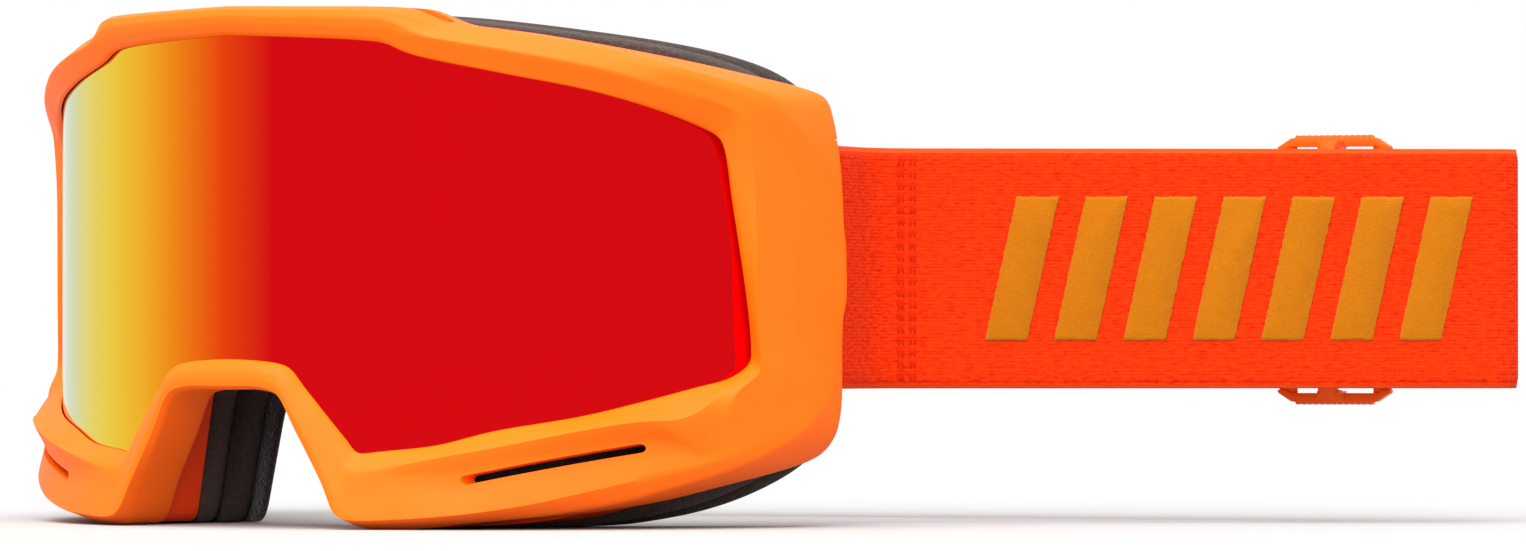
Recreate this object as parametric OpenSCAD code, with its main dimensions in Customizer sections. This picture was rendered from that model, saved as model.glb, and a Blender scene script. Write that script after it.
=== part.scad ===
// Ski goggles with a cylindrical mirrored double lens, three-layer face foam and an elastic
// strap with a sliding adjuster.
// X points to the wearer's left, Y to the rear, Z up. The ground is z = 0, and the axis of the
// lens cylinder stands at x = 0, y = 0.

/* [Lens] */
// Outer radius of the cylindrical lens, which also sets the goggles' width
lens_r = 88; // [73:0.5:106]
// Thickness of the outer, mirrored lens
lens_t = 1.2; // [0.8:0.1:1.6]
// Thickness of the foam gasket between the two lenses
spacer_t = 2.5; // [1.5:0.1:3]
// Thickness of the inner lens
inner_lens_t = 0.8; // [0.5:0.1:1.2]
// How far the outer lens reaches under the frame's lip
lens_tuck = 2.2; // [1.5:0.1:2.6]
// Free gap around the lens in its groove
lens_gap = 0.2; // [0.1:0.05:0.4]
// Width of the gasket between the lenses
spacer_w = 4; // [3:0.5:6]

/* [Frame] */
// Angle from the front at which the wings end
wrap = 79.5; // [78:0.1:80]
// Height of the frame at its top centre
frame_h = 96; // [80:0.5:116]
// Wall thickness of the frame's side
frame_wall = 2.6; // [2:0.1:3.2]
// Thickness of the lip in front of the lens
lip_t = 2.7; // [2:0.1:3.2]
// Depth of the frame's side wall behind the lens radius
frame_depth = 10; // [8:0.5:13]
// How far the two lower lobes stand out from the lens radius
lobe_out = 5.4; // [4:0.1:6.5]
// How far the ridge over each vent stands out from the lens radius
ridge_out = 4.4; // [3:0.1:5.4]
// Height of each lower vent slot
slot_h = 1.8; // [1.2:0.1:2.6]
// Width of each top vent
top_vent_w = 18; // [10:1:22]

/* [Flange and foam] */
// Depth of the flange behind the frame's side wall
flange_depth = 9; // [6:0.5:12]
// Thickness of the flange's plate and walls
flange_t = 2; // [1.5:0.1:2.5]
// How far the flange and the first foam layer stay inside the wings
foam_room = 11; // [10.8:0.1:14]
// Thickness of the firm foam layer
base_foam_t = 7; // [4:0.5:9]
// Thickness of the soft foam layer
mid_foam_t = 7; // [4:0.5:9]
// Thickness of the fleece that touches the face
fleece_t = 2; // [1:0.25:3]
// Thickness of the filter foam behind the vents
vent_foam_t = 2; // [1.5:0.1:2.4]

/* [Strap] */
// Width of the webbing
strap_w = 45; // [37:0.5:54]
// Thickness of the webbing
strap_t = 1.5; // [1:0.1:1.8]
// Straight length of the run that lies outside, from its bend to the fold
near_len = 108; // [90:1:160]
// Direction of that run, from +X
near_angle = 38; // [30:1:60]
// Gap between two layers of webbing
layer_gap = 0.3; // [0.2:0.05:0.6]
// Radius of the fold, at the middle of the webbing
fold_r = 4.5; // [3.5:0.1:8]
// Radius of the bar that the strap loops round
bar_r = 1.5; // [1.2:0.1:2]
// Distance of the bar inside the wing's outer face
bar_inset = 6.4; // [6:0.1:7]
// Greatest tilt of the strap, up or down
tilt_max = 8; // [4:1:8]

/* [Adjuster] */
// Length of the adjuster along the strap
adj_len = 22; // [18:1:28]
// How far the adjuster reaches past each edge of the webbing
adj_over = 3.5; // [2.5:0.1:5]
// Thickness of the adjuster's bars
adj_bar_t = 2.2; // [1.6:0.1:3]
// Width of the adjuster's outer bars
adj_bar_w = 3.6; // [2.5:0.1:5]
// Clearance of the webbing in the adjuster
adj_gap = 0.3; // [0.2:0.05:0.6]
// Number of grip ribs on each edge
rib_count = 13; // [9:2:17]
// Distance of the adjuster from the fold
adj_from_fold = 31.5; // [25:0.5:60]

/* [Hidden] */
$fn = 96;
eps = 0.02;
tall = frame_h + 20;
strap_z = frame_h / 2;
adj_h = strap_w + 2 * adj_over;

orange = [1, 0.5, 0.1];
deep_orange = [1, 0.35, 0];

// Radii, counted from the lens axis
lip_in = lens_r + lens_gap;
lip_out = lip_in + lip_t;
lens_in = lens_r - lens_t;
ledge_out = lens_in - lens_gap;
ledge_in = ledge_out - 1.7;
inner_lens_out = lens_in - spacer_t;
groove_wall = lens_tuck + 0.4;
// just behind the inner lens
seat_r = inner_lens_out - inner_lens_t - 0.3;

// Distances that the lens cylinder is moved to the rear to make the deeper surfaces
flange_back = frame_depth + flange_depth;
base_back = flange_back + base_foam_t;
mid_back = base_back + mid_foam_t;
fleece_back = mid_back + fleece_t;

// Where the wings end, and the size at which the outlines below are drawn
wing_x = lip_out * sin(wrap);
wing_back = -lip_out * cos(wrap);
face_x = wing_x - foam_room;
drawn_x = 89.4;
drawn_h = 96;
kx = wing_x / drawn_x;
kz = frame_h / drawn_h;
function fitted(h) = [for (p = h) len(p) > 2 ? [p[0] * kx, p[1] * kz, p[2]] : [p[0] * kx, p[1] * kz]];

// Half outlines, seen from the front: x, z and the radius of each corner, from the top centre
// round by the wearer's left to the nose
opening_half = fitted([
  [0, 90.6, 0], [31.4, 88.8, 3], [36.5, 86.5, 5], [64, 79.6, 30],
  [78.3, 72.4, 5], [81.3, 28.4, 6], [62, 20.6, 40], [27.3, 13.8, 3], [13.4, 29.9, 5], [0, 31.1, 0]
]);
frame_half = fitted([
  [0, 96, 0], [34.6, 95.2, 4], [42.5, 92.1, 5], [62, 88.6, 25],
  [80.5, 82.4, 10], [88.3, 74, 8], [89.3, 42, 1.5], [88.7, 36.5, 1.5], [88.6, 20, 6],
  [78.1, 11, 12], [62, 3.9, 20], [46, 1.2, 8], [39, 0, 3], [27.6, 0, 4],
  [11.8, 25, 4], [0, 25.4, 0]
]);
function foam_half(side, foot, crown, rise) =
  let (sx = (face_x - side) / kx / 79.5)
  fitted([
    [0, 94.6, 0], [27 * sx, 94, 10], [45 * sx, 91.9, 8], [64.5 * sx, 87.6, 12],
    [75.5 * sx, 81.6, 6], [79.2 * sx, 73, 6], [79.5 * sx, 48, 20], [79.2 * sx, 21, 8],
    [77.3 * sx, 14, 6], [67 * sx, 5.6, 10], [55 * sx, 0.9, 8], [41 * sx, 0, 4], [foot, 0, 3],
    [crown, rise, 6], [0, rise + 1, 0]
  ]);
face_half = fitted([
  [0, 79, 0], [38, 77, 14], [64, 68, 14], [68, 46, 20], [64, 27, 12], [38, 17, 10],
  [25, 38, 8], [0, 43, 0]
]);

// A corner rounded by a quadratic curve that starts r before the corner and ends r after it
function lerp(a, b, t) = a + (b - a) * t;
function corner(a, b, c, r, n) =
  let (ra = min(r, norm(a - b) * 0.48), rc = min(r, norm(c - b) * 0.48))
  let (s = b + (a - b) / norm(a - b) * ra, e = b + (c - b) / norm(c - b) * rc)
  [for (i = [0:n]) let (t = i / n) lerp(lerp(s, b, t), lerp(b, e, t), t)];
function mirrored(h) = concat(h, [for (i = [len(h) - 2:-1:1]) [-h[i][0], h[i][1], h[i][2]]]);
function soft(h, n = 4) =
  let (p = mirrored(h), k = len(p))
  [for (i = [0:k - 1])
    let (a = p[(i + k - 1) % k], b = p[i], c = p[(i + 1) % k])
    each (b[2] > 0 ? corner([a[0], a[1]], [b[0], b[1]], [c[0], c[1]], b[2], n) : [[b[0], b[1]]])];

module outline(h) { polygon(soft(h)); }

// A front outline made solid along Y
module prism() {
  translate([0, 30, 0])
    rotate([90, 0, 0])
      linear_extrude(height = 160)
        children();
}

// A cylinder about the lens axis, moved back by the given distance
module drum(r, back = 0) {
  translate([0, back, -10])
    cylinder(r = r, h = tall, $fn = 180);
}

// The space between two lens-like cylinders, at the front of the goggles
module between(r_in, r_out, back_in = 0, back_out = 0) {
  difference() {
    drum(r_out, back_out);
    drum(r_in, back_in);
    translate([-120, wing_back, -20])
      cube([240, 200, tall + 40]);
  }
}

// As between, for layers that reach further back than the wings
module layer(back_in, back_out) {
  difference() {
    drum(lens_r, back_in);
    drum(lens_r, back_out);
    translate([-120, back_out, -20])
      cube([240, 200, tall + 40]);
  }
}

module ring_face(grow_in, grow_out) {
  difference() {
    intersection() {
      offset(delta = grow_out) outline(opening_half);
      outline(frame_half);
    }
    offset(delta = grow_in) outline(opening_half);
  }
}

// ---- Frame ----
slot_ends = fitted([[46.5, 8.8], [71.5, 14.8]]);

module slot_shape(grow) {
  hull() {
    translate(slot_ends[0]) circle(r = slot_h / 2 + grow, $fn = 32);
    translate(slot_ends[1]) circle(r = slot_h / 2 + grow, $fn = 32);
  }
}

module lobe_shape() {
  intersection() {
    outline(frame_half);
    polygon(fitted([[24, -1], [24, 4], [33, 9], [40, 7], [46, 6.6], [73, 12.6], [80, 12.6], [86, 8],
      [60, -1]]));
  }
}

module ridge_shape() {
  intersection() {
    difference() {
      outline(frame_half);
      offset(delta = 2) outline(opening_half);
    }
    polygon(fitted([[38, 12.6], [73, 17], [79.5, 13.4], [drawn_x, 30], [drawn_x, 39], [84, 36],
      [76, 24.5], [62, 19.6], [38, 14.4]]));
  }
}

// The bar that the strap loops round, between two lugs on the wing
lug_t = 3;
lug_gap = 1.3;
lug_z = strap_w / 2 + lug_gap;
bar_x = wing_x - bar_inset;
bar_y = wing_back + 0.6;
lug_x = bar_x + bar_r + 1;
tilt_room = strap_w / 2 * sin(tilt_max) + 0.05;
loop_in = bar_r + 0.4;
loop_room = 2 * tilt_room + loop_in + strap_t + 0.5;
module strap_bar() {
  translate([bar_x, bar_y, strap_z - lug_z - lug_t / 2])
    cylinder(r = bar_r, h = 2 * lug_z + lug_t);
  for (s = [-1, 1])
    intersection() {
      translate([0, 0, strap_z + s * (lug_z + lug_t / 2) - lug_t / 2])
        cylinder(r = lip_in + eps, h = lug_t, $fn = 180);
      translate([bar_x - bar_r - 1, bar_y - 15, 0])
        cube([lug_x - bar_x + bar_r + 1, 16 + bar_r, tall]);
    }
}

module frame_shell() {
  color(orange)
    difference() {
      union() {
        intersection() {
          prism()
            difference() {
              outline(frame_half);
              outline(opening_half);
            }
          between(lip_in, lip_out);
        }
        intersection() {
          prism() ring_face(groove_wall, groove_wall + 2.4);
          between(ledge_in, lip_in + eps);
        }
        intersection() {
          prism() ring_face(0.4, groove_wall + 1);
          between(ledge_in, ledge_out);
        }
        intersection() {
          prism()
            difference() {
              outline(frame_half);
              offset(delta = -frame_wall) outline(frame_half);
            }
          between(lens_r, lip_in + eps, frame_depth, 0);
        }
        for (m = [0, 1])
          mirror([m, 0, 0]) {
            intersection() {
              prism() lobe_shape();
              between(lip_in + 1, lens_r + lobe_out);
            }
            intersection() {
              prism() ridge_shape();
              between(lip_in + 1, lens_r + ridge_out);
            }
            strap_bar();
          }
      }
      for (m = [0, 1])
        mirror([m, 0, 0]) {
          prism() slot_shape(0);
          // room for the strap's loop inside the wing
          translate([0, 0, strap_z - strap_w / 2 - 1])
            difference() {
              intersection() {
                cylinder(r = lip_out - 1.3, h = strap_w + 2, $fn = 180);
                translate([bar_x - 13, bar_y - loop_room, 0]) cube([30, loop_room + 12, strap_w + 2]);
              }
              translate([bar_x, bar_y, -1]) cylinder(r = bar_r, h = strap_w + 4);
            }
        }
      // the top vents, through the side wall only
      intersection() {
        for (i = [-1.5:1:1.5])
          translate([i * (top_vent_w + 5) - top_vent_w / 2, -lens_r, frame_h - 12 * kz])
            cube([top_vent_w, lens_r, 20 * kz]);
        between(lens_r, ledge_in, frame_depth - 2, 0);
      }
    }
}

// ---- Flange between the frame and the foam ----
module flange_outline() {
  offset(delta = -0.4) outline(foam_half(0, 26.6, 20.1, 28.9));
}

module face_flange() {
  color(deep_orange) {
    intersection() {
      prism()
        difference() {
          flange_outline();
          offset(delta = -flange_t) flange_outline();
        }
      union() {
        intersection() {
          layer(frame_depth, flange_back);
          drum(seat_r);
        }
        // at the temples the wall reaches forward to the lens seat
        difference() {
          drum(seat_r);
          drum(lens_r, frame_depth);
          translate([3.4 - face_x, -120, -20]) cube([2 * face_x - 6.8, 240, tall + 40]);
          translate([-120, wing_back, -20]) cube([240, 200, tall + 40]);
        }
      }
    }
    intersection() {
      prism()
        difference() {
          flange_outline();
          outline(face_half);
        }
      layer(flange_back - flange_t, flange_back);
    }
  }
}

// ---- Lenses ----
module lens_outer() {
  color([0.85, 0.05, 0.05])
    intersection() {
      prism() offset(delta = lens_tuck) outline(opening_half);
      between(lens_in, lens_r);
    }
}

module lens_spacer() {
  color([0.15, 0.15, 0.15])
    intersection() {
      prism()
        difference() {
          offset(delta = -0.2) outline(opening_half);
          offset(delta = -0.2 - spacer_w) outline(opening_half);
        }
      between(inner_lens_out, lens_in);
    }
}

module lens_inner() {
  color([0.6, 0.65, 0.7])
    intersection() {
      prism() offset(delta = -1.5) outline(opening_half);
      between(inner_lens_out - inner_lens_t, inner_lens_out);
    }
}

// ---- Filter foam ----
module vent_foam_top() {
  color([0.2, 0.18, 0.17])
    intersection() {
      prism()
        intersection() {
          difference() {
            offset(delta = -frame_wall - 0.2) outline(frame_half);
            offset(delta = -frame_wall - 0.2 - vent_foam_t) outline(frame_half);
          }
          translate([-2 * (top_vent_w + 5), frame_h - 16]) square([4 * (top_vent_w + 5), 30]);
        }
      between(lens_r, ledge_in - 0.2, frame_depth, 0);
    }
}

module vent_foam_side() {
  color([0.2, 0.18, 0.17])
    intersection() {
      prism()
        intersection() {
          slot_shape(2);
          offset(delta = -frame_wall - 0.2) outline(frame_half);
        }
      difference() {
        between(ledge_in - 0.2 - vent_foam_t, ledge_in - 0.2);
        drum(lens_r, frame_depth - 0.2);
      }
    }
}

module vent_foam_left() { vent_foam_side(); }
module vent_foam_right() { mirror([1, 0, 0]) vent_foam_side(); }

// ---- Face foam ----
module foam_layer(back_in, back_out, half) {
  intersection() {
    prism()
      difference() {
        outline(half);
        outline(face_half);
      }
    layer(back_in, back_out);
  }
}

module foam_base() {
  color([0.3, 0.24, 0.21])
    foam_layer(flange_back, base_back, foam_half(0, 27, 20, 28.5));
}

module foam_mid() {
  color([0.24, 0.18, 0.16])
    foam_layer(base_back, mid_back, foam_half(0.2, 25, 17.5, 28));
}

module face_fleece() {
  color([0.12, 0.08, 0.07])
    foam_layer(mid_back, fleece_back, foam_half(1.5, 22, 14.5, 27));
}

// ---- Strap: one webbing that runs from the left bar, round the fold, through the adjuster,
// round the right bar and back to the adjuster. Its path is drawn in plan. ----
lay = (strap_t + layer_gap) / 2;
run_x = bar_x + lay;
straight = 12;
bend_r = 14;
bend_c = [run_x + bend_r, bar_y + straight];
near_start = bend_c + bend_r * [-sin(near_angle), cos(near_angle)];
near_end = near_start + near_len * [cos(near_angle), sin(near_angle)];
fold_c = near_end + fold_r * [-sin(near_angle), cos(near_angle)];
corner_r = 6;
corner_c = [-run_x + corner_r, bar_y + straight];
span = norm(corner_c - fold_c);
far_angle = 180 + atan((corner_c[1] - fold_c[1]) / (corner_c[0] - fold_c[0]))
  + asin((fold_r - corner_r) / span);
far_out = [sin(far_angle), -cos(far_angle)];
far_start = fold_c + fold_r * far_out;
far_end = corner_c + corner_r * far_out;
far_len = norm(far_end - far_start);
tail_q = strap_t + layer_gap;

module web(w = strap_w, z = strap_z) {
  translate([0, 0, z - w / 2])
    linear_extrude(height = w)
      children();
}

// A straight strip from point p, in direction a, offset to the left by q
module strip(p, a, length, q = 0, t = strap_t) {
  translate(p)
    rotate(a)
      translate([0, q - t / 2])
        square([length, t]);
}

// Points of an arc, one every 6 degrees or so
function arc(c, r, a0, a1) =
  let (n = ceil(abs(a1 - a0) / 6))
  [for (i = [0:n]) c + r * [cos(lerp(a0, a1, i / n)), sin(lerp(a0, a1, i / n))]];
function reversed(p) = [for (i = [len(p) - 1:-1:0]) p[i]];

// A ribbon of webbing between its two edges
module ribbon(edge_a, edge_b) { polygon(concat(edge_a, reversed(edge_b))); }
module bend(c, r, a0, a1, t = strap_t) {
  ribbon(arc(c, r - t / 2, a0, a1), arc(c, r + t / 2, a0, a1));
}

// One edge of the loop round a bar, from the leg on its left to the leg on its right: s is 0 for
// the edge next to the bar and 1 for the outer one
function loop_edge(bar, s) =
  let (w = loop_in + s * strap_t, x = layer_gap / 2 + s * strap_t, low = bar - [0, tilt_room])
  concat(
    [bar + [x, straight], bar + [w, tilt_room]],
    [for (a = [0:-15:-180]) low + w * [cos(a), sin(a)]],
    [bar + [-w, tilt_room], bar + [-x, straight]]
  );

red_webbing = [1, 0.25, 0.06];
function end_left_edge(s) =
  concat(
    loop_edge([bar_x, bar_y], s),
    arc(bend_c, bend_r + tail_q + (s - 0.5) * strap_t, 179, 90 + near_angle)
  );
module strap_end_left() {
  color(red_webbing)
    web() ribbon(end_left_edge(0), end_left_edge(1));
}

function near_run_edge(s) =
  concat(
    arc(bend_c, bend_r + (s - 0.5) * strap_t, 180, 90 + near_angle),
    [near_end + (s - 0.5) * strap_t * [-sin(near_angle), cos(near_angle)]]
  );
module strap_near_run() {
  color(red_webbing)
    web() ribbon(near_run_edge(0), near_run_edge(1));
}

module strap_fold() {
  color(red_webbing)
    web() bend(fold_c, fold_r, near_angle - 90, far_angle - 90);
}

module strap_far_run() {
  color(red_webbing)
    web() strip(far_start, far_angle, far_len);
}

function loop_right_edge(s) =
  concat(
    arc(corner_c, corner_r - tail_q - (s - 0.5) * strap_t, far_angle - 90, 179),
    loop_edge([-bar_x, bar_y], s),
    arc(corner_c, corner_r + (s - 0.5) * strap_t, 179, far_angle - 90)
  );
module strap_loop_right() {
  color(red_webbing)
    web() ribbon(loop_right_edge(0), loop_right_edge(1));
}

// ---- Adjuster, drawn along the far run: u runs along the webbing, v towards the head ----
module on_far_run(u) {
  translate([far_start[0], far_start[1], strap_z])
    rotate(far_angle)
      translate([u, 0, 0])
        children();
}
outer_v = -(strap_t / 2 + adj_gap + adj_bar_t / 2);
tail_v = tail_q;
centre_v = tail_v + strap_t / 2 + 0.2 + adj_bar_t / 2;
centre_w = 4;
rail_z = strap_w / 2 + adj_gap + 0.3;
rail_h = adj_h / 2 - rail_z;
rail_t = 2.6;
rail_out_v = outer_v - adj_bar_t / 2;
rail_top = 0.7;
arm_h = 1.4;
rib_pitch = adj_len * rail_top / rib_count;
wrap_end = tail_v + 2 * (centre_v - tail_v);

module adjuster() {
  color(orange)
    on_far_run(adj_from_fold) {
      for (s = [-1, 1]) {
        translate([s * (adj_len / 2 - adj_bar_w / 2), outer_v, -adj_h / 2 + 1])
          linear_extrude(height = adj_h - 2)
            hull() {
              translate([-adj_bar_w / 2 + 1, 0]) circle(d = adj_bar_t, $fn = 32);
              translate([adj_bar_w / 2 - 1, 0]) circle(d = adj_bar_t, $fn = 32);
            }
        // a rail over and under the webbing, with grip ribs on its edge
        translate([0, rail_out_v + rail_t, 0])
          rotate([90, 0, 0])
            linear_extrude(height = rail_t)
              polygon([for (p = [[-1, 0], [1, 0], [1, 0.3], [rail_top, 1], [-rail_top, 1], [-1, 0.3]])
                [p[0] * adj_len / 2, s * (rail_z + p[1] * (rail_h - 0.8))]]);
        for (i = [0:rib_count - 1])
          translate([(i - (rib_count - 1) / 2) * rib_pitch, rail_out_v + rail_t / 2,
            s * (rail_z + rail_h - 0.9)])
            cube([rib_pitch * 0.55, rail_t, 1.8], center = true);
        // the arm that carries the centre bar
        translate([-centre_w / 2, rail_out_v, s > 0 ? rail_z : -rail_z - arm_h])
          cube([centre_w, centre_v + adj_bar_t / 2 - rail_out_v, arm_h]);
      }
      translate([0, centre_v, -rail_z - 1])
        linear_extrude(height = 2 * rail_z + 2)
          hull() {
            translate([-centre_w / 2 + 1.1, 0]) circle(d = adj_bar_t, $fn = 32);
            translate([centre_w / 2 - 1.1, 0]) circle(d = adj_bar_t, $fn = 32);
          }
    }
}

// The webbing's last turn round the centre bar, sewn back on itself
wrap_half = centre_w / 2 + 0.3;
module tail_wrap() {
  color(red_webbing)
    on_far_run(adj_from_fold)
      translate([0, 0, -strap_w / 2])
        linear_extrude(height = strap_w)
          difference() {
            union() {
              hull() {
                translate([-wrap_half, (tail_v + wrap_end) / 2])
                  circle(r = (wrap_end - tail_v + strap_t) / 2, $fn = 48);
                translate([wrap_half + 1, tail_v - strap_t / 2])
                  square([eps, wrap_end - tail_v + strap_t]);
                translate([wrap_half + 8, tail_v - strap_t / 2]) square([1, 2 * strap_t]);
              }
              translate([wrap_half + 8.5, tail_v - strap_t / 2]) square([4.5, 2 * strap_t]);
            }
            hull() {
              translate([-wrap_half, (tail_v + wrap_end) / 2])
                circle(r = (wrap_end - tail_v - strap_t) / 2, $fn = 48);
              translate([wrap_half + 1, tail_v + strap_t / 2])
                square([eps, wrap_end - tail_v - strap_t]);
              translate([wrap_half + 7.5, tail_v + strap_t / 2]) square([1, eps]);
            }
          }
}

tail_from = adj_from_fold + wrap_half + 13;
module strap_tail() {
  color(red_webbing)
    web()
      translate(tail_from * [cos(far_angle), sin(far_angle)])
        strip(far_start, far_angle, far_len - tail_from, tail_q);
}

stitch_h = 0.5;
module tail_stitching() {
  color([1, 0.45, 0.1])
    on_far_run(adj_from_fold + wrap_half + 9.6)
      for (i = [0, 1])
        translate([i * 2, tail_v - strap_t / 2 + 2 * strap_t, -strap_w / 2 + 2])
          cube([0.8, stitch_h, strap_w - 4]);
}

module bartack_left() {
  color([1, 0.45, 0.1])
    web(strap_w - 4)
      for (a = [4, 14])
        bend(bend_c, bend_r - strap_t / 2 - stitch_h / 2 - 0.03, 90 + near_angle + a,
          90 + near_angle + a + 3, stitch_h);
}

grip_h = 0.4;
grip_w = 1.6;
grip_pitch = 11;
module grip_lines() {
  color([0.9, 0.9, 0.88])
    for (i = [-1, 0, 1])
      web(grip_w, strap_z + i * grip_pitch)
        strip(near_start, near_angle, near_len, strap_t / 2 + grip_h / 2, grip_h);
}

module tail_grip_lines() {
  color([0.9, 0.9, 0.88])
    for (i = [-1, 0, 1])
      web(grip_w, strap_z + i * grip_pitch)
        translate(tail_from * [cos(far_angle), sin(far_angle)])
          strip(far_start, far_angle, far_len - tail_from, tail_q + strap_t / 2 + grip_h / 2, grip_h);
}

// A row of slanted bars on the outer face of the near run
motif_t = 0.4;
motif_w = 8;
motif_h = 27;
motif_slant = 6;
motif_pitch = 13;
motif_start = 12;
motif_count = 1 + floor((near_len - 2 - motif_start - motif_w - motif_slant) / motif_pitch);
module strap_motif() {
  color([0.93, 0.6, 0])
    translate([near_start[0], near_start[1], strap_z])
      rotate([0, 0, near_angle])
        translate([0, -strap_t / 2, 0])
          rotate([90, 0, 0])
            linear_extrude(height = motif_t)
              for (i = [0:motif_count - 1])
                translate([motif_start + i * motif_pitch, -motif_h / 2])
                  polygon([[0, 0], [motif_w, 0], [motif_w + motif_slant, motif_h],
                    [motif_slant, motif_h]]);
}

frame_shell();
face_flange();
lens_outer();
lens_spacer();
lens_inner();
vent_foam_top();
vent_foam_left();
vent_foam_right();
foam_base();
foam_mid();
face_fleece();
strap_end_left();
strap_near_run();
strap_fold();
strap_far_run();
strap_loop_right();
strap_tail();
bartack_left();
grip_lines();
tail_grip_lines();
strap_motif();
adjuster();
tail_wrap();
tail_stitching();
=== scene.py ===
# %% [markdown]
# # Ski goggles
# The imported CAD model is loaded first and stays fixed: its bodies, joints and boxes are the
# datum for everything below. All lengths in Blender are metres, and MM turns the maker's
# millimetres into them.

# %% Load the frame
import bpy, bmesh, math, random
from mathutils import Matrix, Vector


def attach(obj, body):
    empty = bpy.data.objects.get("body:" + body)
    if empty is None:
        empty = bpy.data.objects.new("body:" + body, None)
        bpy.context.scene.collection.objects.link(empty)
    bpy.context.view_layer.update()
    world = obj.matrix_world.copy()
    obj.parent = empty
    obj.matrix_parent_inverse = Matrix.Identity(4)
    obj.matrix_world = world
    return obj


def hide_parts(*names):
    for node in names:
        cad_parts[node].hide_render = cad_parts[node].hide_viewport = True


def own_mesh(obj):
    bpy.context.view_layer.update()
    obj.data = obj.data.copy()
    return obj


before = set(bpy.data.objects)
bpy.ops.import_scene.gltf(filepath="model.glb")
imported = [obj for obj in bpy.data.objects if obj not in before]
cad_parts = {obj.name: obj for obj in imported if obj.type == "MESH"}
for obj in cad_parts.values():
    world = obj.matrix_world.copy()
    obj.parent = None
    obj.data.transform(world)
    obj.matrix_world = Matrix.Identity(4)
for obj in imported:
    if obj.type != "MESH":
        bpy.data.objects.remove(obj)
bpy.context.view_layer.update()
MM = 0.001
scene = bpy.context.scene

# %% [markdown]
# ## Camera
# A long lens from 35 degrees to the wearer's left, almost level with the goggles, as product
# shots are taken. The aim point is given across and above the lens axis, so that the lens
# and the folded strap fill the frame.

# %% Camera
AZIMUTH, ELEVATION = math.radians(35.51), math.radians(-0.587)
DISTANCE, AIM_ACROSS, AIM_UP = 1434.8 * MM, 47.26 * MM, 47.14 * MM
across = Vector((math.cos(AZIMUTH), math.sin(AZIMUTH), 0))
towards = Vector((math.sin(AZIMUTH) * math.cos(ELEVATION), -math.cos(AZIMUTH) * math.cos(ELEVATION),
                  math.sin(ELEVATION)))
camera = bpy.data.objects.new("camera", bpy.data.cameras.new("camera"))
scene.collection.objects.link(camera)
camera.location = across * AIM_ACROSS + Vector((0, 0, AIM_UP)) + towards * DISTANCE
camera.rotation_euler = (-towards).to_track_quat("-Z", "Y").to_euler()
camera.data.sensor_width, camera.data.lens = 36, 174.76
camera.data.clip_start, camera.data.clip_end = 0.05, 50
scene.camera = camera
print("camera at", [round(v, 3) for v in camera.location])

# %% [markdown]
# ## Shader trees as sums
# A finish is a chain of small sums on masks and noises. Wiring them node by node hides the idea,
# so a Value wraps a socket and lets Python's operators add the Math nodes. Every other node
# comes from one method that takes its type, its settings and what goes into its sockets.

# %% Value and Finish
def math_node(tree, operation, a, b):
    """A Math node on two values or numbers"""
    node = tree.nodes.new("ShaderNodeMath")
    node.operation = operation
    for socket, value in zip(node.inputs, (a, b)):
        if isinstance(value, Value):
            tree.links.new(value.socket, socket)
        else:
            socket.default_value = value
    return Value(tree, node.outputs[0])


class Value:
    """A socket on which sums can be written"""
    def __init__(self, tree, socket):
        self.tree, self.socket = tree, socket

    def __add__(self, other):
        return math_node(self.tree, "ADD", self, other)

    def __radd__(self, other):
        return math_node(self.tree, "ADD", other, self)

    def __sub__(self, other):
        return math_node(self.tree, "SUBTRACT", self, other)

    def __rsub__(self, other):
        return math_node(self.tree, "SUBTRACT", other, self)

    def __mul__(self, other):
        return math_node(self.tree, "MULTIPLY", self, other)

    def __rmul__(self, other):
        return math_node(self.tree, "MULTIPLY", other, self)

    def __gt__(self, other):
        return math_node(self.tree, "GREATER_THAN", self, other)


class Finish:
    """A material with one Principled shader, whose constants are set on its own sockets"""
    def __init__(self, name, **constants):
        self.material = bpy.data.materials.new(name)
        self.material.use_nodes = True
        self.tree = self.material.node_tree
        self.shader = self.tree.nodes["Principled BSDF"]
        for socket, value in constants.items():
            self.shader.inputs[socket.replace("_", " ")].default_value = value

    def node(self, kind, settings=None, output=0, **inputs):
        """Adds a node; inputs are named as its sockets are, with _ for a space, or i and a number"""
        node = self.tree.nodes.new("ShaderNode" + kind)
        for key, value in (settings or {}).items():
            setattr(node, key, value)
        for key, value in inputs.items():
            numbered = key[0] == "i" and key[1:].isdigit()
            socket = node.inputs[int(key[1:]) if numbered else key.replace("_", " ")]
            if isinstance(value, Value):
                self.tree.links.new(value.socket, socket)
            else:
                socket.default_value = value
        return Value(self.tree, node.outputs[output])

    def place(self, source, scale):
        """Coordinates in millimetres, stretched by scale: Object, or the piece's own UV"""
        coordinates = self.node("TexCoord", output={"Object": 3, "UV": 2}[source])
        if source == "Object":
            scale = [s / MM for s in scale]
        return self.node("Mapping", Vector=coordinates, Scale=scale)

    def noise(self, place, scale=1.0, detail=3.0, roughness=0.5):
        return self.node("TexNoise", Vector=place, Scale=scale, Detail=detail, Roughness=roughness)

    def ramp(self, value, stops):
        """A colour ramp over (position, colour) stops"""
        ramp = self.node("ValToRGB", Fac=value)
        elements = ramp.socket.node.color_ramp.elements
        while len(elements) < len(stops):
            elements.new(0.5)
        for element, (position, colour) in zip(elements, stops):
            element.position, element.color = position, (*colour, 1)
        return ramp

    def blend(self, mask, first, second):
        """The first colour where the mask is 0 and the second where it is 1"""
        colour = [(*c, 1) if isinstance(c, tuple) else c for c in (first, second)]
        return self.node("Mix", {"data_type": "RGBA"}, output=2, i0=mask, i6=colour[0], i7=colour[1])

    def feed(self, **inputs):
        for key, value in inputs.items():
            self.tree.links.new(value.socket, self.shader.inputs[key.replace("_", " ")])

    def relief(self, height, distance, strength=1.0):
        """Bump of a height in millimetres"""
        self.feed(Normal=self.node("Bump", Height=height, Distance=distance * MM, Strength=strength))

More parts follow.
